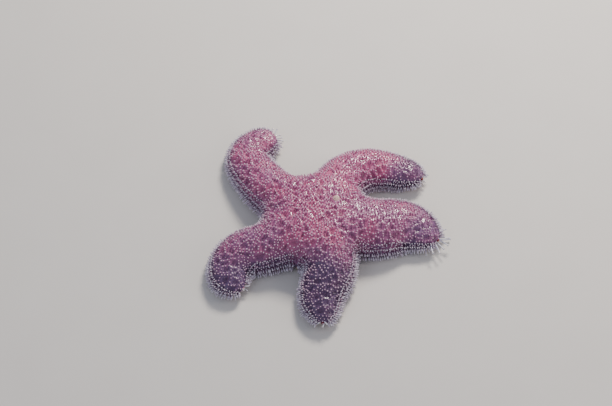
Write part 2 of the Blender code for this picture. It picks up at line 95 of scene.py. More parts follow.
# Rolled emulsion paint is matt and even, with broad faint clouds where the roller lapped. In a colour Mix,
# socket 0 is the share and 6 and 7 are the colours. In a Map Range, 1 and 2 are the range that is read, and
# 3 and 4 are the range that is given.
paint, tree, shader = add_material("matt_floor_paint", Roughness=0.75)
spot = add_node(tree, "TexCoord").outputs["Object"]
mottle = add_node(tree, "TexNoise", {"Vector": spot, "Scale": 1000 / PAINT_MOTTLE_MM, "Detail": 3.0})
tone = add_node(
    tree, "Mix", {0: mottle.outputs[0], 6: linear(FLOOR_PAINT), 7: linear(FLOOR_MOTTLE)}, data_type="RGBA"
)
tree.links.new(tone.outputs[2], shader.inputs["Base Color"])
bm = bmesh.new()
bmesh.ops.create_grid(bm, x_segments=1, y_segments=1, size=FLOOR_SIDE / 2)
add_piece("floor", bm, paint)

# The camera looks down on the star from the front, at the photograph's own angle, and is moved until the
# middle of the disc falls on the pixel where the photograph shows it.
PHOTO_WIDTH, PHOTO_HEIGHT = 612, 406
DISC_PIXEL = (317.6, 223.6)
DISC_AT = Vector((-0.0127, -0.0014, 0.0))
SIGHTED_HEIGHT = 0.012
LENS, SENSOR = 110.0, 36.0
ELEVATION = math.radians(52.0)
DISTANCE = 1.83

to_right = Vector((1.0, 0.0, 0.0))
to_top = Vector((0.0, math.sin(ELEVATION), math.cos(ELEVATION)))
to_eye = Vector((0.0, -math.cos(ELEVATION), math.sin(ELEVATION)))
metres_per_pixel = DISTANCE / (LENS / SENSOR * PHOTO_WIDTH)
eye = DISC_AT + Vector((0.0, 0.0, SIGHTED_HEIGHT)) + to_eye * DISTANCE
eye -= to_right * (DISC_PIXEL[0] - PHOTO_WIDTH / 2) * metres_per_pixel
eye += to_top * (DISC_PIXEL[1] - PHOTO_HEIGHT / 2) * metres_per_pixel
camera_data = bpy.data.cameras.new("camera")
camera_data.lens, camera_data.sensor_width = LENS, SENSOR
camera_data.clip_start, camera_data.clip_end = 0.05, 20.0
camera = bpy.data.objects.new("camera", camera_data)
bpy.context.scene.collection.objects.link(camera)
camera.matrix_world = Matrix.Translation(eye) @ Matrix((to_right, to_top, to_eye)).transposed().to_4x4()
bpy.context.scene.camera = camera

# Three softboxes light it. The strongest stands behind and above, so the rear arms are bright, the near
# sides fall into shade and the wet skin takes long soft glints.
SOFTBOXES = (  # name, place, width and height, watts and colour
    ("key_softbox", (0.42, 1.05, 0.98), (0.45, 0.32), 28.0, "#fff6ec"),
    ("fill_softbox", (-0.95, -0.75, 0.90), (0.80, 0.60), 2.5, "#e6ecff"),
    ("side_softbox", (1.10, -0.10, 0.60), (0.35, 0.60), 3.0, "#fff4ee"),
)
ROOM_LIGHT, ROOM_COLOUR = 0.42, "#e4eafa"

for name, at, size, watts, colour in SOFTBOXES:
    light = bpy.data.lights.new(name, "AREA")
    light.shape = "RECTANGLE"
    light.size, light.size_y = size
    light.energy = watts
    light.color = linear(colour)[:3]
    lamp = bpy.data.objects.new(name, light)
    bpy.context.scene.collection.objects.link(lamp)
    turn = (Vector(at) - DISC_AT).to_track_quat("Z", "Y").to_matrix().to_4x4()
    lamp.matrix_world = Matrix.Translation(at) @ turn
world = bpy.data.worlds.new("room")
world.use_nodes = True
world.node_tree.nodes["Background"].inputs["Color"].default_value = linear(ROOM_COLOUR)
world.node_tree.nodes["Background"].inputs["Strength"].default_value = ROOM_LIGHT
bpy.context.scene.world = world

# The skin is the animal's leathery body wall over its chalky plates: five bent arms that run into one disc,
# in one closed mesh. Soft ridges join into a net over the back, and each arm has a groove below.
SECTOR = 72.0
SECTOR_HALF = math.radians(SECTOR / 2)
NOTCH_RADIUS = 0.053  # from the mouth to where two arms meet
NOTCH_S = NOTCH_RADIUS * math.cos(SECTOR_HALF)
NOTCH_WIDTH = NOTCH_RADIUS * math.sin(SECTOR_HALF)
DISC_HEIGHT = 0.039
TAPER_POWER = 1.6
WEB_REACH = 0.0035
SHOULDER_HEIGHT, TIP_HEIGHT, BACK_POWER = 0.0355, 0.014, 1.1
BACK_ROUND = 2.2
MARGIN_SHARE, MARGIN_ONSET = 0.32, 3
SOLE, FLAT_EDGE = 0.0012, 0.84
LIP_Q, SIDE_Q = 0.36, 0.66  # where the groove ends and where the side begins, in shares of the belly's half
TIP_LIFT, LIFT_LENGTH = 0.004, 0.026
GROOVE_HALF_WIDTH, GROOVE_DEPTH_SHARE, GROOVE_MOST = 0.0062, 0.24, 0.55
GROOVE_ROOF_SHARE = 0.35
MOUTH_RADIUS, MOUTH_RIM, MOUTH_ROOF = 0.0084, 0.0030, 0.0105
FIRST_HEADING = -5.3
ARMS = (  # length, half width, taper, length and roundness of the tip, the feelers' reach, and three turns
    ("right", 0.122, 0.0310, 0.36, 0.032, 1.7, 0.0140, (21.0, -50.0, 8.0)),
    ("rear_right", 0.147, 0.0232, 0.42, 0.024, 2.4, 0.0045, (-27.0, -42.0, -23.0)),
    ("rear_left", 0.153, 0.0230, 0.34, 0.022, 3.0, 0.0080, (-11.0, -12.0, -84.0)),
    ("left", 0.130, 0.0246, 0.34, 0.024, 2.6, 0.0045, (-23.0, 70.0, 90.0)),
    ("front", 0.118, 0.0234, 0.46, 0.025, 2.2, 0.0060, (-38.0, 34.0, -20.0)),
)
STRETCHES = ("root", "middle", "tip")
BENDS_AT = (NOTCH_S + 0.0045, 0.070, 0.101, 0.135)
BEND_SOFTENING = (-0.004, -0.002, 0.0, 0.002, 0.004)
TRACE_STEP, TRACE_SPARE = 0.0005, 20

ROW_STEP, TIP_CROWDING = 0.00085, 1.3
BACK_COLUMNS, BELLY_COLUMNS = 71, 47
CENTRE_STEP = 0.0030
WELD = 1e-5
SEAM_SHARE, SEAM_SOFTENING = 0.72, 10
NET_CELL = 0.0076
RIDGE_HALF_WIDTH = 0.00125
RIDGE_HEIGHT, HOLLOW_DEPTH = 0.00045, 0.00040
GRAIN_CELL, GRAIN_HEIGHT = 0.0016, 0.00016
BACK_FADE = 0.12
CREASE_DEPTH, CREASE_HALF_SHARE = 0.0015, 0.24
CREASE_ONSET, CREASE_END = (0.012, 0.018), (0.033, 0.0095)  # where each starts, and over what length
SOLE_TO, SOLE_FADE = 0.74, 0.22
BAKE_SCALE, BAKE_START, BAKE_COLUMN, BAKE_ROW, BAKE_HALF_WIDTH = 3.0, 0.01, 0.5, 0.2, 0.095
# Painted light: the front arm's deep purple is painted shade, and the rear right arm's negative measure is painted
# light that makes it paler than the others.
ARM_PURPLE_AND_PAINTED_LIGHT = {  # how purple each arm is, where from the mouth that sets in, and how purple its tip is
    "right": (0.22, 0.012, 0.62),
    "rear_right": (-0.20, 0.018, 0.75),
    "rear_left": (0.12, 0.018, 0.30),
    "left": (0.42, 0.014, 0.80),
    "front": (0.90, 0.024, 0.95),
}
PIGMENT_FADE, WEB_FADE, TIP_PIGMENT_FROM, TIP_PIGMENT_FADE = 0.050, 0.022, 0.050, 0.036
# Painted shade: the flanks of each arm and its belly are painted deeper purple.
FLANK_PAINTED_SHADE, BELLY_PAINTED_SHADE = 0.45, 0.6
SHOULDER_ONSET, SHOULDER_FROM, SHOULDER_FADE = 0.012, 0.45, 0.50


def smooth(x):
    """0 to 1 with level ends."""
    x = min(1.0, max(0.0, x))
    return x * x * (3 - 2 * x)


class Arm:
    """One arm: its centre line on the floor, and its section at a distance s along it."""

    def __init__(self, index, name, length, width, taper, tip_length, tip_roundness, feelers, turns):
        self.index, self.name, self.feelers = index, name, feelers
        self.length, self.width, self.taper = length, width, taper
        self.tip_length, self.tip_roundness = tip_length, tip_roundness
        self.headings = [FIRST_HEADING + SECTOR * index]
        for turn in turns:
            self.headings.append(self.headings[-1] + turn)
        self.trace = [(0.0, 0.0)]
        for step in range(int(length / TRACE_STEP) + TRACE_SPARE):
            heading = self.heading((step + 0.5) * TRACE_STEP)
            x, y = self.trace[-1]
            self.trace.append((x + TRACE_STEP * math.cos(heading), y + TRACE_STEP * math.sin(heading)))

    def heading(self, s):
        """Direction of the centre line in radians, softened where one turn passes into the next."""
        total = 0.0
        for offset in BEND_SOFTENING:
            at = min(BENDS_AT[-1], max(BENDS_AT[0], s + offset))
            i = sum(at > bend for bend in BENDS_AT[1:-1])
            share = (at - BENDS_AT[i]) / (BENDS_AT[i + 1] - BENDS_AT[i])
            total += self.headings[i] + share * (self.headings[i + 1] - self.headings[i])
        return math.radians(total / len(BEND_SOFTENING))

    def place(self, s, across, z):
        """The point at s along the arm, across to its left, and z above the floor."""
        step = min(len(self.trace) - 2, int(s / TRACE_STEP))
        share = s / TRACE_STEP - step
        x = self.trace[step][0] * (1 - share) + self.trace[step + 1][0] * share
        y = self.trace[step][1] * (1 - share) + self.trace[step + 1][1] * share
        heading = self.heading(s)
        lift = TIP_LIFT * smooth((s - self.length + LIFT_LENGTH) / LIFT_LENGTH)
        return DISC_AT + Vector((x - across * math.sin(heading), y + across * math.cos(heading), z + lift))

    def fullness(self, s):
        """1 along the arm, falling to 0 round its tip."""
        into_tip = min(1.0, max(0.0, (s - self.length + self.tip_length) / self.tip_length))
        return math.sqrt(max(0.0, 1 - into_tip**self.tip_roundness))

    def half_width(self, s):
        """Half the width at s: the disc's sector as far as the notch, and then the arm and its web."""
        if s <= NOTCH_S:
            return s * math.tan(SECTOR_HALF)
        share = (s - NOTCH_S) / (self.length - NOTCH_S)
        side = self.width * (1 - self.taper * share**TAPER_POWER)
        web = (NOTCH_WIDTH - self.width) * math.exp(-(s - NOTCH_S) / WEB_REACH)
        return (side + web) * self.fullness(s)

    def edge(self, s, v):
        """0 on the crest and 1 on the margin. Inside the disc the margin is reached only at a notch."""
        return min(1.0, abs(v)) * min(1.0, s / NOTCH_S) ** MARGIN_ONSET

    def heights(self, s):
        """Heights of the crest and of the margin."""
        if s < NOTCH_S:
            crest = DISC_HEIGHT - (DISC_HEIGHT - SHOULDER_HEIGHT) * (s / NOTCH_S) ** 2
        else:
            share = min(1.0, (s - NOTCH_S) / (self.length - NOTCH_S))
            crest = SHOULDER_HEIGHT - (SHOULDER_HEIGHT - TIP_HEIGHT) * share**BACK_POWER
        margin = MARGIN_SHARE * crest
        return margin + (crest - margin) * self.fullness(s), margin

    def back(self, s, q):
        """A point of the upper surface; q runs from -1 to 1 in even steps over the section's arc."""
        round_share = min(1.0, s / NOTCH_S) ** MARGIN_ONSET
        v = q * (1 - round_share) + math.sin(q * math.pi / 2) * round_share
        crest, margin = self.heights(s)
        rise = math.sqrt(max(0.0, 1 - self.edge(s, v) ** BACK_ROUND))
        return self.place(s, v * self.half_width(s), margin + (crest - margin) * rise)

    def groove(self, s):
        """Half width of the groove at its mouth, and its depth."""
        crest, _ = self.heights(s)
        taper = self.half_width(s) / self.width if s > NOTCH_S else 1.0
        half = min(GROOVE_HALF_WIDTH * taper, GROOVE_MOST * self.half_width(s))
        return half, GROOVE_DEPTH_SHARE * crest

    def belly(self, s, q):
        """A point of the lower surface; q is the groove to LIP_Q, the sole to SIDE_Q, and then the side."""
        half, depth = self.groove(s)
        width = self.half_width(s)
        lip = half / width if width > 0 else GROOVE_MOST
        at = abs(q)
        if at < LIP_Q:
            v = lip * at / LIP_Q
        elif at < SIDE_Q:
            v = lip + (FLAT_EDGE - lip) * (at - LIP_Q) / (SIDE_Q - LIP_Q)
        else:
            v = FLAT_EDGE + (1 - FLAT_EDGE) * math.sin((at - SIDE_Q) / (1 - SIDE_Q) * math.pi / 2)
        _, margin = self.heights(s)
        up_side = min(1.0, max(0.0, (self.edge(s, v) - FLAT_EDGE) / (1 - FLAT_EDGE)))
        z = SOLE + (margin - SOLE) * (1 - math.sqrt(1 - up_side**2))
        into_groove = v / lip if lip else 0.0
        z += depth * (1 - smooth((into_groove - GROOVE_ROOF_SHARE) / (1 - GROOVE_ROOF_SHARE)))
        from_mouth = math.hypot(s, v * width)
        roof = 1 - smooth((from_mouth - MOUTH_RADIUS) / MOUTH_RIM)
        z += (MOUTH_ROOF - z) * roof
        full = self.fullness(s)
        across = v * width if q > 0 else -v * width
        return self.place(s, across, margin * (1 - full) + z * full)

    def rows(self):
        """Distances of the skin's rows, closer together as the tip rounds."""
        shoulder = self.length - self.tip_length
        inner = np.linspace(CENTRE_STEP, NOTCH_S, round((NOTCH_S - CENTRE_STEP) / ROW_STEP))
        outer = np.linspace(NOTCH_S, shoulder, round((shoulder - NOTCH_S) / ROW_STEP))[1:]
        turns = np.linspace(0, math.pi / 2, round(TIP_CROWDING * self.tip_length / ROW_STEP))[1:]
        return [0.0, *inner, *outer, *(shoulder + self.tip_length * np.sin(turns))]


def bake_place(arm, under, s, q):
    """The skin's unwrap: backs in one column and bellies in another, each arm laid out at its own shape."""
    spread = arm.half_width(min(s, arm.length)) / NOTCH_WIDTH
    along = BAKE_COLUMN * under + BAKE_START + BAKE_SCALE * s
    return along, BAKE_ROW * (arm.index + 0.5) + BAKE_HALF_WIDTH * q * spread


def net_distance(point):
    """Metres to the nearest border between the cells of the net."""
    distances, seeds = noise.voronoi(point / NET_CELL, distance_metric="DISTANCE_SQUARED")
    return (distances[1] - distances[0]) / (2 * (seeds[1] - seeds[0]).length) * NET_CELL


arms = [Arm(index, *arm) for index, arm in enumerate(ARMS)]


def purple_and_painted_light(arm, s, q):
    """How purple the skin is painted: each arm has its own measure, and more at its tip and on its flanks, and two
    arms go half and half where they meet in a web. The front arm's deep purple and the flanks' purple are painted
    shade, and the rear right arm's negative measure is painted light that makes it paler."""
    purple_and_shade, meeting = [], 0.5 * smooth(abs(q)) * (1 - smooth((s - NOTCH_S) / WEB_FADE))
    for near in (arm, arms[(arm.index + (1 if q > 0 else -1)) % len(arms)]):
        along, onset, at_tip = ARM_PURPLE_AND_PAINTED_LIGHT[near.name]
        to_tip = smooth((s - near.length + TIP_PIGMENT_FROM) / TIP_PIGMENT_FADE)
        purple_and_shade.append((along + (at_tip - along) * to_tip) * smooth((s - onset) / PIGMENT_FADE))
    past_disc = smooth((s - SHOULDER_ONSET) / PIGMENT_FADE)
    shoulder = FLANK_PAINTED_SHADE * smooth((abs(q) - SHOULDER_FROM) / SHOULDER_FADE) * past_disc
    return min(1.0, purple_and_shade[0] * (1 - meeting) + purple_and_shade[1] * meeting + shoulder)


# Each arm is a sheet for its back and one for its belly, welded together all round and to the next arm's.
bm = bmesh.new()
bake_map = bm.loops.layers.uv.new("OFBake")
on_arm = bm.verts.layers.int.new("arm")
is_under = bm.verts.layers.float.new("under")
along_arm = bm.verts.layers.float.new("along")
across_arm = bm.verts.layers.float.new("across")
for arm in arms:
    rows = arm.rows()
    for under, columns in ((0, BACK_COLUMNS), (1, BELLY_COLUMNS)):
        surface = arm.belly if under else arm.back
        sheet = bmesh.ops.create_grid(bm, x_segments=len(rows) - 1, y_segments=columns - 1, size=1.0)
        for vertex in sheet["verts"]:
            s = rows[round((vertex.co.x + 1) / 2 * (len(rows) - 1))]
            q = round((vertex.co.y + 1) / 2 * (columns - 1)) / (columns - 1) * 2 - 1
            vertex.co = surface(s, q)
            vertex[on_arm], vertex[is_under] = arm.index, under
            vertex[along_arm], vertex[across_arm] = s, q
        for face in {face for vertex in sheet["verts"] for face in vertex.link_faces}:
            for loop in face.loops:
                loop[bake_map].uv = bake_place(arm, under, loop.vert[along_arm], loop.vert[across_arm])
bmesh.ops.remove_doubles(bm, verts=bm.verts, dist=WELD)
bmesh.ops.recalc_face_normals(bm, faces=bm.faces)
# Where the arms' backs meet on the disc the seam is smoothed away. The net, the grain and the creases are
# then raised square to the skin.
seams = [
    vertex
    for vertex in bm.verts
    if not vertex[is_under] and vertex[along_arm] < NOTCH_S and abs(vertex[across_arm]) > SEAM_SHARE
]
for _ in range(SEAM_SOFTENING):
    bmesh.ops.smooth_vert(bm, verts=seams, factor=0.5, use_axis_x=True, use_axis_y=True, use_axis_z=True)
bm.normal_update()
ridge_share = bm.verts.layers.float.new("ridge")
sole_share = bm.verts.layers.float.new("sole")
purple_and_shade_share = bm.verts.layers.float.new("purple_and_shade")
for vertex in bm.verts:
    away = net_distance(vertex.co)
    rise = 1 - smooth(away / (2 * RIDGE_HALF_WIDTH))
    on_back = (1 - vertex[is_under]) * smooth((1 - abs(vertex[across_arm])) / BACK_FADE)
    if vertex[along_arm] < NOTCH_S:
        on_back = 1 - vertex[is_under]
    grain = noise.noise(vertex.co / GRAIN_CELL) * GRAIN_HEIGHT
    relief = on_back * (rise * (RIDGE_HEIGHT + HOLLOW_DEPTH) - HOLLOW_DEPTH) + grain
    if not vertex[is_under]:
        into_crease = smooth((abs(vertex[across_arm]) - 1) / CREASE_HALF_SHARE + 1)
        onset = smooth((vertex[along_arm] - CREASE_ONSET[0]) / CREASE_ONSET[1])
        end = 1 - smooth((vertex[along_arm] - CREASE_END[0]) / CREASE_END[1])
        relief -= CREASE_DEPTH * into_crease * onset * end
    vertex[ridge_share] = rise
    flank = abs(vertex[across_arm]) if vertex[along_arm] > NOTCH_S else 0.0
    vertex[sole_share] = vertex[is_under] * smooth((SOLE_TO - flank) / SOLE_FADE)
    purple_and_shade = purple_and_painted_light(arms[vertex[on_arm]], vertex[along_arm], vertex[across_arm])
    vertex[purple_and_shade_share] = min(1.0, purple_and_shade + BELLY_PAINTED_SHADE * vertex[is_under])
    vertex.co += vertex.normal * relief

SKIN_NODES = ["disc"] + [f"arm_{name}_{stretch}" for name, *_ in ARMS for stretch in STRETCHES]
HOLLOW_PINK, RIDGE_PINK = "#a54477", "#da7daa"
FLUSH_ROSE, COOL_PURPLE = "#dd6791", "#745b86"
SOLE_CREAM, SHADE_PLUM, PLUM_AND_PAINTED_SHADE = "#cfae9a", "#6a3a60", "#46304f"
PATCH_MM, GRAIN_MM, PORE_MM = 22.0, 1.1, 0.45

# Living skin is leathery and wet: a thin film of slime glosses it, light sinks a little way in, and its rosy
# patches are as broad as a thumb. The pores are drawn coarser than in life, so that they show.
wet_skin, tree, shader = add_material(
    "wet_leathery_skin",
    IOR=1.38,
    Subsurface_Weight=0.12,
    Subsurface_Radius=(0.0030, 0.0012, 0.0012),
    Subsurface_Scale=1.0,
    Coat_Weight=0.8,
    Coat_Roughness=0.10,
    Coat_IOR=1.36,
)
spot = add_node(tree, "TexCoord").outputs["Object"]
ridge, sole, purple_and_shade = (
    add_node(tree, "Attribute", attribute_name=name).outputs["Fac"] for name in ("ridge", "sole", "purple_and_shade")
)
patches = add_node(tree, "TexNoise", {"Vector": spot, "Scale": 1000 / PATCH_MM, "Detail": 4.0})
grain = add_node(tree, "TexNoise", {"Vector": spot, "Scale": 1000 / GRAIN_MM, "Detail": 3.0})
pores = add_node(tree, "TexVoronoi", {"Vector": spot, "Scale": 1000 / PORE_MM})
colour = add_node(
    tree, "Mix", {0: ridge, 6: linear(HOLLOW_PINK), 7: linear(RIDGE_PINK)}, data_type="RGBA"
).outputs[2]
flush = add_node(tree, "MapRange", {0: patches.outputs[0], 1: 0.42, 2: 0.62, 3: 0.0, 4: 0.55}).outputs[0]
colour = add_node(tree, "Mix", {0: flush, 6: colour, 7: linear(FLUSH_ROSE)}, data_type="RGBA").outputs[2]
blotch = add_node(tree, "MapRange", {0: patches.outputs[0], 1: 0.35, 2: 0.65, 3: 0.25, 4: -0.10}).outputs[0]
# The purple mix is partly painted light: the front arm's deep purple and the darker flanks are painted shade, and
# the rear right arm is painted paler; the blotches are the animal's own.
cool = add_node(tree, "Math", {0: purple_and_shade, 1: blotch}, operation="ADD", use_clamp=True).outputs[0]
colour = add_node(tree, "Mix", {0: cool, 6: colour, 7: linear(COOL_PURPLE)}, data_type="RGBA").outputs[2]
# Where the measure is high the skin turns dark plum: painted shade on the front arm and the flanks, and the tips'
# own purple.
plum_and_shade = add_node(tree, "MapRange", {0: purple_and_shade, 1: 0.55, 2: 1.0, 3: 0.0, 4: 0.62}).outputs[0]
colour = add_node(tree, "Mix", {0: plum_and_shade, 6: colour, 7: linear(PLUM_AND_PAINTED_SHADE)}, data_type="RGBA").outputs[2]
colour = add_node(tree, "Mix", {0: sole, 6: colour, 7: linear(SOLE_CREAM)}, data_type="RGBA").outputs[2]
dark = add_node(tree, "MapRange", {0: grain.outputs[0], 1: 0.35, 2: 0.65, 3: 0.35, 4: 0.0}).outputs[0]
colour = add_node(tree, "Mix", {0: dark, 6: colour, 7: linear(SHADE_PLUM)}, data_type="RGBA").outputs[2]
tree.links.new(colour, shader.inputs["Base Color"])
dull = add_node(tree, "MapRange", {0: grain.outputs[0], 1: 0.3, 2: 0.7, 3: 0.34, 4: 0.52}).outputs[0]
tree.links.new(dull, shader.inputs["Roughness"])
rough = add_node(tree, "Bump", {"Height": grain.outputs[0], "Strength": 0.5, "Distance": 0.0004}).outputs[0]
rough = add_node(
    tree, "Bump", {"Height": pores.outputs[0], "Strength": 0.35, "Distance": 0.0002, "Normal": rough}
).outputs[0]
tree.links.new(rough, shader.inputs["Normal"])

skin = add_piece("skin", bm, wet_skin)
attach(skin, "root")
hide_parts(*SKIN_NODES)

# Blunt chalky spines stand along the ridges of the net, each with a soft collar at its foot. They are
# turned in one pattern and planted on the skin, in one piece for each arm.
SPINE_SIDES = 7
SPINE_PROFILE = (  # radius and height, from the sunk root to the worn tip
    (0.00092, -0.00060),
    (0.00098, 0.00010),
    (0.00070, 0.00040),
    (0.00052, 0.00060),
    (0.00060, 0.00120),
    (0.00068, 0.00165),
    (0.00052, 0.00195),
    (0.0, 0.00205),
)
SPINE_ROOM = 0.0023
RIDGE_SHARE_FOR_SPINES, SPINE_MOST_ACROSS, DISC_SHARE = 0.62, 0.88, 0.96
SPINE_GIRTHS, SPINE_HEIGHTS = (0.82, 1.12), (0.80, 1.20)
SPINE_TIP_SHRINK, SPINE_SHRINK_FROM = 0.25, 0.6
SPINE_LEAN = 0.16
# SPINE_WHITE is chalk white with a lilac cast, and the cast is a painted reflection of bluish light in the wet
# tips' glints.
SPINE_WHITE, SPINE_FOOT, SPINE_PLUM, SPINE_PLUM_SHARE = "#f0d0e4", "#b65f90", "#5d4668", 0.9
CHALK_GRIT_MM = 0.35
SIEVE_RADIUS, SIEVE_BARE_RIM = 0.0034, 0.0012
PATTERN_WELD = 1e-6
BAKE_PATCH = 0.003


def turned(profile, sides):
    """A small closed shape turned round Z from (radius, height) points that run upwards."""
    bm = bmesh.new()
    points = [bm.verts.new((radius, 0.0, z)) for radius, z in profile]
    edges = [bm.edges.new(pair) for pair in zip(points, points[1:])]
    around = {"cent": (0, 0, 0), "axis": (0, 0, 1), "angle": math.tau}
    bmesh.ops.spin(bm, geom=points + edges, steps=sides, use_merge=True, **around)
    bmesh.ops.remove_doubles(bm, verts=bm.verts, dist=PATTERN_WELD)
    bmesh.ops.holes_fill(bm, edges=[edge for edge in bm.edges if edge.is_boundary], sides=0)
    bmesh.ops.recalc_face_normals(bm, faces=bm.faces)
    pattern = bpy.data.meshes.new("pattern")
    bm.to_mesh(pattern)
    bm.free()
    return pattern


def join_copies(name, pattern, plants, material):
    """One mesh of many copies of a pattern, written in bulk, as there are thousands. A plant is its place,
    direction, girth, height, bake place and how purple the skin is painted there, its painted shade included."""
    corners = len(pattern.loops)
    shape = np.empty(len(pattern.vertices) * 3)
    pattern.vertices.foreach_get("co", shape)
    shape = shape.reshape(-1, 3)
    index = np.empty(corners, dtype=int)
    pattern.loops.foreach_get("vertex_index", index)
    starts = np.empty(len(pattern.polygons), dtype=int)
    pattern.polygons.foreach_get("loop_start", starts)
    low, high = shape[:, 2].min(), shape[:, 2].max()
    draw = random.Random(len(plants))
    turns = []
    for _, direction, girth, height, *_ in plants:
        spun = Matrix.Rotation(draw.uniform(0, math.tau), 3, "Z")
        turn = direction.to_track_quat("Z", "Y").to_matrix() @ spun
        turns.append(turn @ Matrix.Diagonal((girth, girth, height)))
    turns = np.array(turns, dtype=float).reshape(-1, 3, 3)
    places = np.array([plant[0] for plant in plants], dtype=float).reshape(-1, 1, 3)
    spots = np.einsum("nij,vj->nvi", turns, shape) + places
    count = len(plants)
    mesh = bpy.data.meshes.new(name)
    mesh.vertices.add(count * len(shape))
    mesh.vertices.foreach_set("co", spots.ravel())
    mesh.loops.add(count * corners)
    mesh.loops.foreach_set("vertex_index", (index + len(shape) * np.arange(count)[:, None]).ravel())
    mesh.polygons.add(count * len(starts))
    mesh.polygons.foreach_set("loop_start", (starts + corners * np.arange(count)[:, None]).ravel())
    angle = np.arctan2(shape[index, 1], shape[index, 0]) / math.tau
    for first, last in zip(starts, [*starts[1:], corners]):
        own = angle[first:last]
        angle[first:last] = own - np.round(own - own[0])
    up = (shape[:, 2] - low) / (high - low)
    patch = np.stack([angle % 2, up[index]], axis=1) * BAKE_PATCH
    homes = np.array([plant[4] for plant in plants], dtype=float).reshape(-1, 1, 2)
    mesh.uv_layers.new(name="OFBake").data.foreach_set("uv", (patch + homes).ravel())
    tint = np.repeat([draw.random() for _ in plants], len(shape))
    purple_and_shade = np.repeat([plant[5] for plant in plants], len(shape))
    for attribute, values in (("up", np.tile(up, count)), ("tint", tint), ("purple_and_shade", purple_and_shade)):
        mesh.attributes.new(attribute, "FLOAT", "POINT").data.foreach_set("value", values)
    mesh.update(calc_edges=True)
    mesh.shade_smooth()
    mesh.materials.append(material)
    piece = bpy.data.objects.new(name, mesh)
    bpy.context.scene.collection.objects.link(piece)
    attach(piece, "root")
    return piece


def thinned(order, places, room):
    """Takes places in the given order, and leaves out each that lies within room of one taken before."""
    taken, cells = [], {}
    for i in order:
        place = places[i]
        cell = tuple(int(math.floor(c / room)) for c in place)
        near = (
            other
            for dx in (-1, 0, 1)
            for dy in (-1, 0, 1)
            for dz in (-1, 0, 1)
            for other in cells.get((cell[0] + dx, cell[1] + dy, cell[2] + dz), ())
        )
        if all((place - other).length >= room for other in near):
            taken.append(i)
            cells.setdefault(cell, []).append(place)
    return taken


def leaning(direction, draw, most):
    """The direction, leaned a little at random."""
    return (direction + Vector([draw.uniform(-most, most) for _ in range(3)])).normalized()


def add_chalk(name, foot, tip, plum_share):
    """Chalk under a thin film of wet skin: tinted like the skin at the foot, and worn pale and gritty at the
    tip, so it glints softly. The grit is drawn coarser than in life, so that it shows."""
    chalk, tree, shader = add_material(
        name, IOR=1.45, Coat_Weight=0.35, Coat_Roughness=0.18, Coat_IOR=1.33
    )
    up, tint, purple_and_shade = (
        add_node(tree, "Attribute", attribute_name=layer).outputs["Fac"] for layer in ("up", "tint", "purple_and_shade")
    )
    # The foot turns plum where the skin is purple, so it carries the skin's painted shade on the front arm and the
    # flanks too.
    purple = add_node(tree, "MapRange", {0: purple_and_shade, 3: 0.0, 4: plum_share}).outputs[0]
    base = add_node(
        tree, "Mix", {0: purple, 6: linear(foot), 7: linear(SPINE_PLUM)}, data_type="RGBA"
    ).outputs[2]
    rise = add_node(tree, "MapRange", {0: up, 1: 0.30, 2: 0.72}).outputs[0]
    colour = add_node(tree, "Mix", {0: rise, 6: base, 7: linear(tip)}, data_type="RGBA").outputs[2]
    worn = add_node(tree, "MapRange", {0: tint, 1: 0.0, 2: 1.0, 3: 0.0, 4: 0.45}).outputs[0]
    colour = add_node(tree, "Mix", {0: worn, 6: colour, 7: base}, data_type="RGBA").outputs[2]
    tree.links.new(colour, shader.inputs["Base Color"])
    spot = add_node(tree, "TexCoord").outputs["Object"]
    grit = add_node(tree, "TexNoise", {"Vector": spot, "Scale": 1000 / CHALK_GRIT_MM, "Detail": 2.0})
    rough = add_node(tree, "MapRange", {0: grit.outputs[0], 3: 0.38, 4: 0.62}).outputs[0]
    tree.links.new(rough, shader.inputs["Roughness"])
    bump = add_node(tree, "Bump", {"Height": grit.outputs[0], "Strength": 0.4, "Distance": 0.00015})
    tree.links.new(bump.outputs[0], shader.inputs["Normal"])
    return chalk


skin_mesh = skin.data
places = [vertex.co.copy() for vertex in skin_mesh.vertices]
facings = [vertex.normal.copy() for vertex in skin_mesh.vertices]
arm_of, under_of, along_of, across_of, ridge_of = (
    [item.value for item in skin_mesh.attributes[name].data]
    for name in ("arm", "under", "along", "across", "ridge")
)
sieve_low, sieve_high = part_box("sieve_plate")
sieve_at = (sieve_low + sieve_high) / 2


def on_back_near(i, most_across):
    """Whether a point of the skin is on the back, inside the margins, and clear of the sieve plate."""
    inside = abs(across_of[i]) < most_across or along_of[i] < DISC_SHARE * NOTCH_S
    return not under_of[i] and inside and (places[i] - sieve_at).length > SIEVE_RADIUS + SIEVE_BARE_RIM


spine_chalk = add_chalk("spine_chalk", SPINE_FOOT, SPINE_WHITE, SPINE_PLUM_SHARE)
draw = random.Random(11)
ridge_points = [
    i
    for i in range(len(places))
    if ridge_of[i] > RIDGE_SHARE_FOR_SPINES and on_back_near(i, SPINE_MOST_ACROSS)
]
ridge_points.sort(key=lambda i: -ridge_of[i])
spine_roots = thinned(ridge_points, places, SPINE_ROOM)
spine = turned(SPINE_PROFILE, SPINE_SIDES)
for arm in arms:
    plants = []
    for i in spine_roots:
        if arm_of[i] != arm.index:
            continue
        to_tip = (along_of[i] / arm.length - SPINE_SHRINK_FROM) / (1 - SPINE_SHRINK_FROM)
        small = 1 - SPINE_TIP_SHRINK * smooth(to_tip)
        girth = small * draw.uniform(*SPINE_GIRTHS)
        height = small * draw.uniform(*SPINE_HEIGHTS)
        home = bake_place(arm, 0, along_of[i], across_of[i])
        purple_and_shade = purple_and_painted_light(arm, along_of[i], across_of[i])
        plants.append((places[i], leaning(facings[i], draw, SPINE_LEAN), girth, height, home, purple_and_shade))
    join_copies(f"back_spines_{arm.name}", spine, plants, spine_chalk)

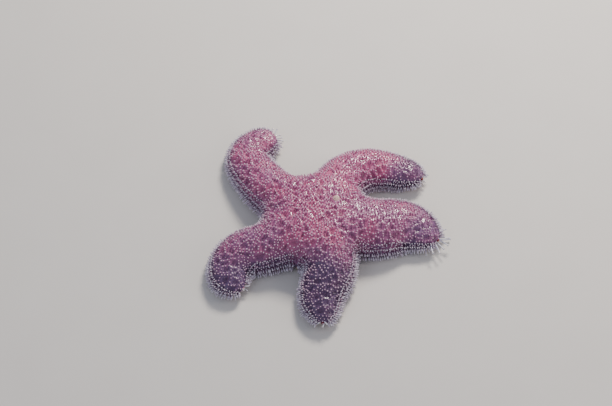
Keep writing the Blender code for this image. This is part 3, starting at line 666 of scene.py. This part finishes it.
# Gills are soft fingers of thin skin that the star breathes through. They stand in the hollows of the net
# and are its darkest, wettest parts.
GILL_PROFILE = ((0.00036, -0.00040), (0.00036, 0.00030), (0.00029, 0.00085), (0.0, 0.00110))
GILL_SIDES = 5
GILL_ROOM = 0.00125
MOST_RIDGE_FOR_GILLS, GILL_MOST_ACROSS = 0.20, 0.86
GILL_SIZES, GILL_LEAN = (0.75, 1.25), 0.35
GILL_FOOT, GILL_TIP, GILL_PLUM = "#8d3e6c", "#be6792", "#5a3a60"

# Skin this thin, filled with body fluid, lets much of the light through and gleams with wet.
gill_skin, tree, shader = add_material(
    "thin_gill_skin",
    Roughness=0.34,
    IOR=1.38,
    Subsurface_Weight=0.2,
    Subsurface_Radius=(0.0015, 0.0006, 0.0007),
    Coat_Weight=0.5,
    Coat_Roughness=0.10,
    Coat_IOR=1.33,
)
up, tint, purple_and_shade = (
    add_node(tree, "Attribute", attribute_name=name).outputs["Fac"] for name in ("up", "tint", "purple_and_shade")
)
colour = add_node(
    tree, "Mix", {0: up, 6: linear(GILL_FOOT), 7: linear(GILL_TIP)}, data_type="RGBA"
).outputs[2]
faded = add_node(tree, "MapRange", {0: tint, 1: 0.0, 2: 1.0, 3: 0.0, 4: 0.5}).outputs[0]
colour = add_node(tree, "Mix", {0: faded, 6: colour, 7: linear(COOL_PURPLE)}, data_type="RGBA").outputs[2]
# Gills turn plum where the skin is purple, and so carry its painted shade on the front arm and the flanks.
colour = add_node(tree, "Mix", {0: purple_and_shade, 6: colour, 7: linear(GILL_PLUM)}, data_type="RGBA").outputs[2]
tree.links.new(colour, shader.inputs["Base Color"])

draw = random.Random(23)
hollows = [
    i
    for i in range(len(places))
    if ridge_of[i] < MOST_RIDGE_FOR_GILLS and on_back_near(i, GILL_MOST_ACROSS)
]
draw.shuffle(hollows)
gill_roots = thinned(hollows, places, GILL_ROOM)
gill = turned(GILL_PROFILE, GILL_SIDES)
for arm in arms:
    plants = []
    for i in gill_roots:
        if arm_of[i] == arm.index:
            size = draw.uniform(*GILL_SIZES)
            home = bake_place(arm, 0, along_of[i], across_of[i])
            purple_and_shade = purple_and_painted_light(arm, along_of[i], across_of[i])
            plants.append((places[i], leaning(facings[i], draw, GILL_LEAN), size, size, home, purple_and_shade))
    join_copies(f"gills_{arm.name}", gill, plants, gill_skin)

# Marginal spines of chalk edge every arm like a comb. Nine rows stand one above another, from blunt ones on
# the shoulder to long ones by the floor: every other row is small and scattered, and the rest are neat.
COMB_PROFILE = (
    (0.00066, -0.00080),
    (0.00070, 0.0),
    (0.00052, 0.0009),
    (0.00058, 0.0024),
    (0.00054, 0.0033),
    (0.0, 0.0038),
)
COMB_SIDES = 6
COMB_ROWS = (  # on the back (0) or belly (1), place across, droop, spacing, girth, length, scatter across
    (0, 0.72, -50.0, 0.0025, 1.10, 0.72, 0.020),
    (0, 0.79, -40.0, 0.0042, 0.85, 0.60, 0.022),
    (0, 0.86, -27.0, 0.0023, 1.00, 1.15, 0.012),
    (0, 0.92, -16.0, 0.0040, 0.80, 0.80, 0.022),
    (0, 0.98, -4.0, 0.0022, 1.00, 1.38, 0.006),
    (1, 0.98, 8.0, 0.0040, 0.80, 0.95, 0.022),
    (1, 0.92, 20.0, 0.0021, 0.98, 1.60, 0.006),
    (1, 0.84, 18.0, 0.0040, 0.80, 0.90, 0.022),
    (1, 0.76, 16.0, 0.0024, 0.90, 1.20, 0.012),
)
COMB_FROM_NOTCH, COMB_FROM_TIP = 0.0012, 0.0012
COMB_LEAN, SPACING_SCATTER = 0.12, 0.14
ROW_GIRTHS, ROW_HEIGHTS = (0.88, 1.12), (0.85, 1.15)
LEAST_CLEARANCE = 0.0006
COMB_FOOT, COMB_TIP, COMB_PLUM_SHARE = "#94567f", "#ece6f4", 0.5


def walk(arm, under, q, start, stop, spacing):
    """Places along an arm, an even distance apart on the skin's surface."""
    surface = arm.belly if under else arm.back
    s, last, gone, found = start, surface(start, q), spacing, []
    while s < stop:
        here = surface(s, q)
        gone += (here - last).length
        last = here
        if gone >= spacing:
            found.append(s)
            gone -= spacing
        s += TRACE_STEP / 2
    return found


def outward(arm, under, s, q):
    """Level and square to the skin's edge at s, away from the arm on q's side."""
    surface = arm.belly if under else arm.back
    along = surface(min(arm.length, s + TRACE_STEP), q) - surface(s - TRACE_STEP, q)
    return Vector((-along.y, along.x, 0.0)).normalized() * (1 if q > 0 else -1)


def plant_row(arm, side, row, start, stop, reach, lean, draw):
    """Plants for one row on one side. It points outward, droops, and stops short of the floor."""
    under, row_q, droop, spacing, row_girth, row_height, scatter = row
    surface = arm.belly if under else arm.back
    across, down = math.cos(math.radians(droop)), math.sin(math.radians(droop))
    plants = []
    for even_s in walk(arm, under, side * row_q, start, stop, spacing):
        s = even_s + spacing * draw.uniform(-SPACING_SCATTER, SPACING_SCATTER)
        q = side * min(1.0, row_q + draw.uniform(-scatter, scatter))
        root = surface(s, q)
        girth = row_girth * draw.uniform(*ROW_GIRTHS)
        height = row_height * draw.uniform(*ROW_HEIGHTS)
        aim = leaning(outward(arm, under, s, q) * across - Vector((0, 0, down)), draw, lean)
        aim.z = max(aim.z, (LEAST_CLEARANCE - root.z) / (reach * height))
        home = bake_place(arm, under, s, q)
        plants.append((root, aim.normalized(), girth, height, home, purple_and_painted_light(arm, s, q)))
    return plants


draw = random.Random(31)
comb_spine = turned(COMB_PROFILE, COMB_SIDES)
comb_chalk = add_chalk("comb_chalk", COMB_FOOT, COMB_TIP, COMB_PLUM_SHARE)
for arm in arms:
    start, stop = NOTCH_S + COMB_FROM_NOTCH, arm.length - COMB_FROM_TIP
    plants = []
    for row in COMB_ROWS:
        for side in (-1, 1):
            plants += plant_row(arm, side, row, start, stop, COMB_PROFILE[-1][1], COMB_LEAN, draw)
    join_copies(f"marginal_spines_{arm.name}", comb_spine, plants, comb_chalk)

# Below, slim spines guard the lips of each groove, some laid over it and some laid away from it, and short
# ones stud the sole between the groove and the margin.
GUARD_PROFILE = ((0.00050, -0.0006), (0.00052, 0.0), (0.00040, 0.0012), (0.00043, 0.0021), (0.0, 0.0026))
GUARD_SIDES = 5
GUARD_ROWS = (  # as the comb's rows are given; the first leans over the groove
    (1, 0.385, 162.0, 0.0019, 0.95, 1.05, 0.011),
    (1, 0.430, 16.0, 0.0020, 1.00, 1.00, 0.011),
    (1, 0.500, 14.0, 0.0030, 1.10, 0.85, 0.011),
    (1, 0.570, 14.0, 0.0032, 1.15, 0.90, 0.011),
    (1, 0.640, 12.0, 0.0030, 1.15, 1.00, 0.011),
)
GUARD_FROM, GUARD_SHORT = 0.0135, 0.0060
GUARD_LEAN = 0.12
SOLE_CHALK_FOOT, SOLE_CHALK_TIP, SOLE_PLUM_SHARE = "#b79a8c", "#eee2d4", 0.0

draw = random.Random(43)
guard = turned(GUARD_PROFILE, GUARD_SIDES)
sole_chalk = add_chalk("sole_chalk", SOLE_CHALK_FOOT, SOLE_CHALK_TIP, SOLE_PLUM_SHARE)
for arm in arms:
    start, stop = GUARD_FROM, arm.length - GUARD_SHORT
    plants = []
    for row in GUARD_ROWS:
        for side in (-1, 1):
            plants += plant_row(arm, side, row, start, stop, GUARD_PROFILE[-1][1], GUARD_LEAN, draw)
    join_copies(f"sole_spines_{arm.name}", guard, plants, sole_chalk)

# Tube feet hang in four rows from the roof of each groove. Each is a ringed stalk of soft wet muscle that
# ends in a round sucker, and the suckers stand on the floor.
FOOT_LENGTH = 0.0084
FOOT_ROOT_RADIUS, FOOT_NECK_RADIUS, FOOT_RINGS = 0.00105, 0.00062, 4
SUCKER_RADIUS, SUCKER_DEPTH, SUCKER_HOLLOW = 0.00150, 0.0012, 0.0003
FOOT_SIDES, FOOT_BOW = 8, 0.0006
FOOT_SPACING = 0.0036
FOOT_ROWS = ((0.24, 0.0), (0.60, 0.5))  # place across the groove's half, and stagger along it
FOOT_SPLAY, FOOT_WANDER = 1.45, 0.0005
FOOT_FROM, FOOT_SHORT = 0.0130, 0.0110
FOOT_LEAST_GIRTH, FOOT_GIRTHS = 0.35, (0.88, 1.08)
SOLE_CLEARANCE, LIFT_FOLLOWED = 0.0009, 0.8
FOOT_CREAM, FOOT_LILAC, SUCKER_PALE = "#d8b48e", "#b9a3bd", "#e9e3e4"
RING_SWELL = 0.07
CUP_SHOULDER, CUP_EYE, SUNK_SHARE = (0.85, 0.5), 0.4, 0.1


def ringed_stalk(length, root_radius, neck_radius, rings, sucker):
    """Profile of a tube foot: a root sunk in the skin, swelling rings, and a sucker with a hollow face."""
    radius, depth, hollow = sucker
    profile = [(root_radius, -SUNK_SHARE * length)]
    for step in range(2 * rings + 1):
        share = step / (2 * rings)
        thick = (root_radius + (neck_radius - root_radius) * share) * (1 + RING_SWELL * (-1) ** step)
        profile.append((thick, (length - depth) * share))
    profile.append((CUP_SHOULDER[0] * radius, length - CUP_SHOULDER[1] * depth))
    return [*profile, (radius, length), (CUP_EYE * radius, length - hollow), (0.0, length - hollow)]


def bowed(pattern, length, bow):
    """Bends a stalk sideways into a shallow bow that leaves both its ends on its axis."""
    for vertex in pattern.vertices:
        vertex.co.x += bow * math.sin(math.pi * min(1.0, max(0.0, vertex.co.z / length)))
    return pattern


# Tube feet are thin-walled muscle, full of fluid: pale, half see-through, and glossy because they are wet.
foot_muscle, tree, shader = add_material(
    "soft_wet_muscle",
    Roughness=0.30,
    IOR=1.37,
    Subsurface_Weight=0.35,
    Subsurface_Radius=(0.0030, 0.0018, 0.0012),
    Coat_Weight=0.5,
    Coat_Roughness=0.08,
    Coat_IOR=1.33,
)
up = add_node(tree, "Attribute", attribute_name="up").outputs["Fac"]
tint = add_node(tree, "Attribute", attribute_name="tint").outputs["Fac"]
mixed = add_node(
    tree, "Mix", {0: tint, 6: linear(FOOT_CREAM), 7: linear(FOOT_LILAC)}, data_type="RGBA"
).outputs[2]
at_sucker = add_node(tree, "MapRange", {0: up, 1: 0.78, 2: 0.95}).outputs[0]
colour = add_node(
    tree, "Mix", {0: at_sucker, 6: mixed, 7: linear(SUCKER_PALE)}, data_type="RGBA"
).outputs[2]
tree.links.new(colour, shader.inputs["Base Color"])

draw = random.Random(59)
sucker = (SUCKER_RADIUS, SUCKER_DEPTH, SUCKER_HOLLOW)
stalk = ringed_stalk(FOOT_LENGTH, FOOT_ROOT_RADIUS, FOOT_NECK_RADIUS, FOOT_RINGS, sucker)
foot = bowed(turned(stalk, FOOT_SIDES), FOOT_LENGTH, FOOT_BOW)
for arm in arms:
    plants = []
    count = int((arm.length - FOOT_SHORT - FOOT_FROM) / FOOT_SPACING)
    for i in range(count):
        for row, stagger in FOOT_ROWS:
            for side in (-1, 1):
                s = FOOT_FROM + FOOT_SPACING * (i + stagger)
                half, _ = arm.groove(s)
                root = arm.belly(s, side * LIP_Q * row)
                sole = arm.place(s, side * half * row * FOOT_SPLAY, 0.0)
                sole += Vector([draw.uniform(-FOOT_WANDER, FOOT_WANDER) for _ in range(3)])
                sole.z = SOLE_CLEARANCE + LIFT_FOLLOWED * arm.place(s, 0.0, 0.0).z
                down = sole - root
                girth = FOOT_LEAST_GIRTH + (1 - FOOT_LEAST_GIRTH) * half / GROOVE_HALF_WIDTH
                girth = min(1.0, girth) * draw.uniform(*FOOT_GIRTHS)
                home = bake_place(arm, 1, s, side * LIP_Q * row)
                plants.append((root, down.normalized(), girth, down.length / FOOT_LENGTH, home, 0.0))
    join_copies(f"tube_feet_{arm.name}", foot, plants, foot_muscle)

# Past the last suckers, a fan of slim tube feet feels the way ahead of each arm's tip. They are the same
# soft muscle, longer and paler, and have only a small knob for a sucker.
FEELERS, FEELER_FAN, FEELER_BACK = 9, 72.0, 0.0068
FEELER_SPREAD, FEELER_RAISED = 0.5, 0.0006
FEELER_RISES, FEELER_STAGGER = (-14.0, 12.0), 12.0
FEELER_SIDE_SHARE, FEELER_AHEAD_POWER, FEELER_LENGTHS = 0.45, 0.5, (0.85, 1.05)
FEELER_LEAST_GIRTH, FEELER_GIRTHS = 0.55, (0.85, 1.1)
FEELER_LENGTH = 0.0140
FEELER_ROOT_RADIUS, FEELER_NECK_RADIUS, FEELER_RINGS = 0.00078, 0.00056, 8
FEELER_SUCKER = (0.00098, 0.0011, 0.00025)
FEELER_SIDES, FEELER_BOW = 12, 0.0013
FEELER_PALE, FEELER_BLUE = "#ebe8f0", "#b9b9d4"

# Stretched thin, the muscle loses its colour: milky and slightly blue at the root, with a wet gleam.
feeler_muscle, tree, shader = add_material(
    "pale_feeler_muscle",
    Roughness=0.26,
    IOR=1.37,
    Subsurface_Weight=0.35,
    Subsurface_Radius=(0.0020, 0.0018, 0.0016),
    Coat_Weight=0.5,
    Coat_Roughness=0.08,
    Coat_IOR=1.33,
)
up = add_node(tree, "Attribute", attribute_name="up").outputs["Fac"]
colour = add_node(
    tree, "Mix", {0: up, 6: linear(FEELER_BLUE), 7: linear(FEELER_PALE)}, data_type="RGBA"
).outputs[2]
tree.links.new(colour, shader.inputs["Base Color"])

draw = random.Random(67)
stalk = ringed_stalk(FEELER_LENGTH, FEELER_ROOT_RADIUS, FEELER_NECK_RADIUS, FEELER_RINGS, FEELER_SUCKER)
feeler = bowed(turned(stalk, FEELER_SIDES), FEELER_LENGTH, FEELER_BOW)
for arm in arms:
    plants = []
    s = arm.length - FEELER_BACK
    for i in range(FEELERS):
        share = 2 * i / (FEELERS - 1) - 1
        root = arm.belly(s, share * FEELER_SPREAD) + Vector((0, 0, FEELER_RAISED))
        heading = arm.heading(arm.length) + math.radians(share * FEELER_FAN)
        rise = math.radians(draw.uniform(*FEELER_RISES) + (FEELER_STAGGER if i % 2 else 0.0))
        level = math.cos(rise)
        aim = Vector((math.cos(heading) * level, math.sin(heading) * level, math.sin(rise)))
        ahead = FEELER_SIDE_SHARE + (1 - FEELER_SIDE_SHARE) * (1 - abs(share)) ** FEELER_AHEAD_POWER
        length = (FEELER_BACK + arm.feelers * ahead) * draw.uniform(*FEELER_LENGTHS)
        aim.z = max(aim.z, (LEAST_CLEARANCE - root.z) / length)
        girth = FEELER_LEAST_GIRTH + (1 - FEELER_LEAST_GIRTH) * length / FEELER_LENGTH
        girth *= draw.uniform(*FEELER_GIRTHS)
        home = bake_place(arm, 1, s, share * FEELER_SPREAD)
        plants.append((root, aim.normalized(), girth, length / FEELER_LENGTH, home, 0.0))
    join_copies(f"feelers_{arm.name}", feeler, plants, feeler_muscle)

# The sieve plate is a button of bare chalk, set in the skin off the middle of the back, through which the
# star fills its tube feet. Fine grooves wander over its low dome.
SIEVE_FROM_MIDDLE = 0.021
SIEVE_SIDES, SIEVE_RINGS = 72, 18
SIEVE_RIM, SIEVE_RIM_HEIGHT = ((1.0, -0.0014), (1.0, 0.0001), (0.97, 0.0004)), 0.0004
DOME_RADIUS_SHARE, DOME_FOOT, DOME_RISE = 0.94, 0.0005, 0.0008
SIEVE_GROOVE, SIEVE_GROOVE_DEPTH, SIEVE_GROOVE_SHARE = 0.0010, 0.00022, 0.16
SIEVE_PATTERN_AT = Vector((3.0, 7.0, 0.0))
PLATE_CREAM, PLATE_SHADE_AND_GRIT = "#dcb9b0", "#8f6470"
PLATE_GRIT_MM = 0.4

sieve_profile = [(SIEVE_RADIUS * out, z) for out, z in SIEVE_RIM]
for ring in range(SIEVE_RINGS + 1):
    share = ring / SIEVE_RINGS
    rise = DOME_FOOT + DOME_RISE * math.sin(share * math.pi / 2)
    sieve_profile.append((SIEVE_RADIUS * DOME_RADIUS_SHARE * (1 - share), rise))
bm = bmesh.new()
bm.from_mesh(turned(sieve_profile, SIEVE_SIDES))
groove_share = bm.verts.layers.float.new("groove")
for vertex in bm.verts:
    if vertex.co.z > SIEVE_RIM_HEIGHT:
        lines = abs(noise.noise(vertex.co / SIEVE_GROOVE + SIEVE_PATTERN_AT))
        vertex[groove_share] = 1 - smooth(lines / SIEVE_GROOVE_SHARE)
        vertex.co.z -= SIEVE_GROOVE_DEPTH * vertex[groove_share]
right_arm = arms[0]
s, seat_q, near_q, inner_q = SIEVE_FROM_MIDDLE * math.cos(SECTOR_HALF), 1.0, 0.98, 0.96
seat = right_arm.back(s, seat_q)
slope_along = right_arm.back(s + TRACE_STEP, near_q) - right_arm.back(s - TRACE_STEP, near_q)
slope_across = seat - right_arm.back(s, inner_q)
facing = slope_along.cross(slope_across).normalized()
bm.transform(Matrix.Translation(seat) @ facing.to_track_quat("Z", "Y").to_matrix().to_4x4())

# Bare chalk is dull, gritty and cream, with painted shade in its grooves and darker specks of grit. The grit is
# coarser than in life.
bare_chalk, tree, shader = add_material("bare_chalk", Roughness=0.62, IOR=1.5)
groove = add_node(tree, "Attribute", attribute_name="groove").outputs["Fac"]
spot = add_node(tree, "TexCoord").outputs["Object"]
grit = add_node(tree, "TexNoise", {"Vector": spot, "Scale": 1000 / PLATE_GRIT_MM, "Detail": 3.0})
colour = add_node(
    tree, "Mix", {0: groove, 6: linear(PLATE_CREAM), 7: linear(PLATE_SHADE_AND_GRIT)}, data_type="RGBA"
).outputs[2]
speck = add_node(tree, "MapRange", {0: grit.outputs[0], 1: 0.35, 2: 0.7, 3: 0.25, 4: 0.0}).outputs[0]
colour = add_node(tree, "Mix", {0: speck, 6: colour, 7: linear(PLATE_SHADE_AND_GRIT)}, data_type="RGBA").outputs[2]
tree.links.new(colour, shader.inputs["Base Color"])
bump = add_node(tree, "Bump", {"Height": grit.outputs[0], "Strength": 0.4, "Distance": 0.00015})
tree.links.new(bump.outputs[0], shader.inputs["Normal"])
plate = add_piece("madreporite", bm, bare_chalk)
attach(plate, "root")
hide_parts("sieve_plate")

# The mouth is a ring of soft puckered skin, in the pit where the five grooves meet, and closed over its middle,
# where painted shade stands in for the hole. The ring is turned from one profile, puckered, and hung upside down
# from the roof of the pit.
LIP_PROFILE = (
    (0.0080, -0.0002),
    (0.0078, 0.0016),
    (0.0066, 0.0031),
    (0.0054, 0.0040),
    (0.0042, 0.0042),
    (0.0031, 0.0038),
    (0.0022, 0.0026),
    (0.0014, 0.0008),
    (0.0, 0.0002),
)
LIP_SIDES, PUCKERS, PUCKER_DEPTH, PUCKER_FULL_AT = 100, 25, 0.00022, 0.003
LIP_ROSE, LIP_PAINTED_SHADE, LIP_DARK_TO, LIP_ROSE_FROM = "#c99a8c", "#7c4a50", 0.0008, 0.0034
LIP_MOTTLE_MM = 1.2

bm = bmesh.new()
bm.from_mesh(turned(LIP_PROFILE, LIP_SIDES))
for vertex in bm.verts:
    angle = math.atan2(vertex.co.y, vertex.co.x)
    out = math.hypot(vertex.co.x, vertex.co.y)
    vertex.co.z += math.sin(angle * PUCKERS) * PUCKER_DEPTH * smooth(out / PUCKER_FULL_AT)
bm.transform(Matrix.Translation(DISC_AT + Vector((0, 0, MOUTH_ROOF))) @ Matrix.Rotation(math.pi, 4, "X"))

# Lip skin is thin, moist and finely wrinkled: rosy outside, with painted shade towards the middle where the
# mouth's hole would be.
soft_lip, tree, shader = add_material(
    "soft_mouth_skin",
    Roughness=0.36,
    IOR=1.38,
    Subsurface_Weight=0.2,
    Subsurface_Radius=(0.002, 0.0008, 0.0006),
    Coat_Weight=0.5,
    Coat_Roughness=0.10,
    Coat_IOR=1.33,
)
spot = add_node(tree, "TexCoord").outputs["Object"]
centred = add_node(tree, "Mapping", {0: spot, 1: -DISC_AT}).outputs[0]
axes = add_node(tree, "SeparateXYZ", {0: centred})
flat = add_node(tree, "CombineXYZ", {0: axes.outputs[0], 1: axes.outputs[1]}).outputs[0]
out = add_node(tree, "VectorMath", {0: flat}, operation="LENGTH").outputs["Value"]
inside = add_node(tree, "MapRange", {0: out, 1: LIP_DARK_TO, 2: LIP_ROSE_FROM, 3: 1.0, 4: 0.0}).outputs[0]
mottle = add_node(tree, "TexNoise", {"Vector": spot, "Scale": 1000 / LIP_MOTTLE_MM, "Detail": 3.0})
colour = add_node(
    tree, "Mix", {0: inside, 6: linear(LIP_ROSE), 7: linear(LIP_PAINTED_SHADE)}, data_type="RGBA"
).outputs[2]
tree.links.new(colour, shader.inputs["Base Color"])
bump = add_node(tree, "Bump", {"Height": mottle.outputs[0], "Strength": 0.5, "Distance": 0.0003})
tree.links.new(bump.outputs[0], shader.inputs["Normal"])
lips = add_piece("mouth_ring", bm, soft_lip)
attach(lips, "root")
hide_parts("mouth")

# An eyespot sits at the very tip of each arm, half sunk in the skin: a small soft red cushion studded with
# cup-shaped eyes. The cups are drawn coarser than in life, so that they show.
EYE_DEPTH, EYE_HALF_WIDTH, EYE_HALF_HEIGHT = 0.0014, 0.0016, 0.0011
EYE_SUNK_SHARE = 0.4
EYE_CUP_MM, CUP_HEIGHT, CUP_SPREAD = 0.42, 0.00012, 0.7
EYE_RED, EYE_DARK = "#b3322b", "#5e1518"

# Red pigment under clear wet skin shines like enamel. The colour is darker between the raised cups.
glossy_red, tree, shader = add_material(
    "glossy_eyespot", Roughness=0.25, IOR=1.38, Coat_Weight=0.6, Coat_Roughness=0.06, Coat_IOR=1.33
)
spot = add_node(tree, "TexCoord").outputs["Object"]
cups = add_node(tree, "TexVoronoi", {"Vector": spot, "Scale": 1000 / EYE_CUP_MM})
between = add_node(tree, "MapRange", {0: cups.outputs["Distance"], 1: 0.25, 2: CUP_SPREAD}).outputs[0]
colour = add_node(
    tree, "Mix", {0: between, 6: linear(EYE_RED), 7: linear(EYE_DARK)}, data_type="RGBA"
).outputs[2]
tree.links.new(colour, shader.inputs["Base Color"])
for arm in arms:
    bm = bmesh.new()
    bmesh.ops.create_uvsphere(bm, u_segments=28, v_segments=18, radius=1.0)
    bmesh.ops.scale(bm, verts=bm.verts, vec=(EYE_DEPTH, EYE_HALF_WIDTH, EYE_HALF_HEIGHT))
    low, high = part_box(f"eyespot_{arm.name}")
    centre = (low + high) / 2
    turn = Matrix.Rotation(arm.heading(arm.length), 4, "Z")
    sunk = Matrix.Translation((-EYE_SUNK_SHARE * EYE_DEPTH, 0.0, 0.0))
    bm.transform(Matrix.Translation(centre) @ turn @ sunk)
    bm.normal_update()
    for vertex in bm.verts:
        distances, _ = noise.voronoi(vertex.co * (1000 / EYE_CUP_MM))
        vertex.co += vertex.normal * CUP_HEIGHT * (1 - smooth(distances[0] / CUP_SPREAD))
    eyespot = add_piece(f"eye_cushion_{arm.name}", bm, glossy_red)
    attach(eyespot, "root")
    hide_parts(f"eyespot_{arm.name}")
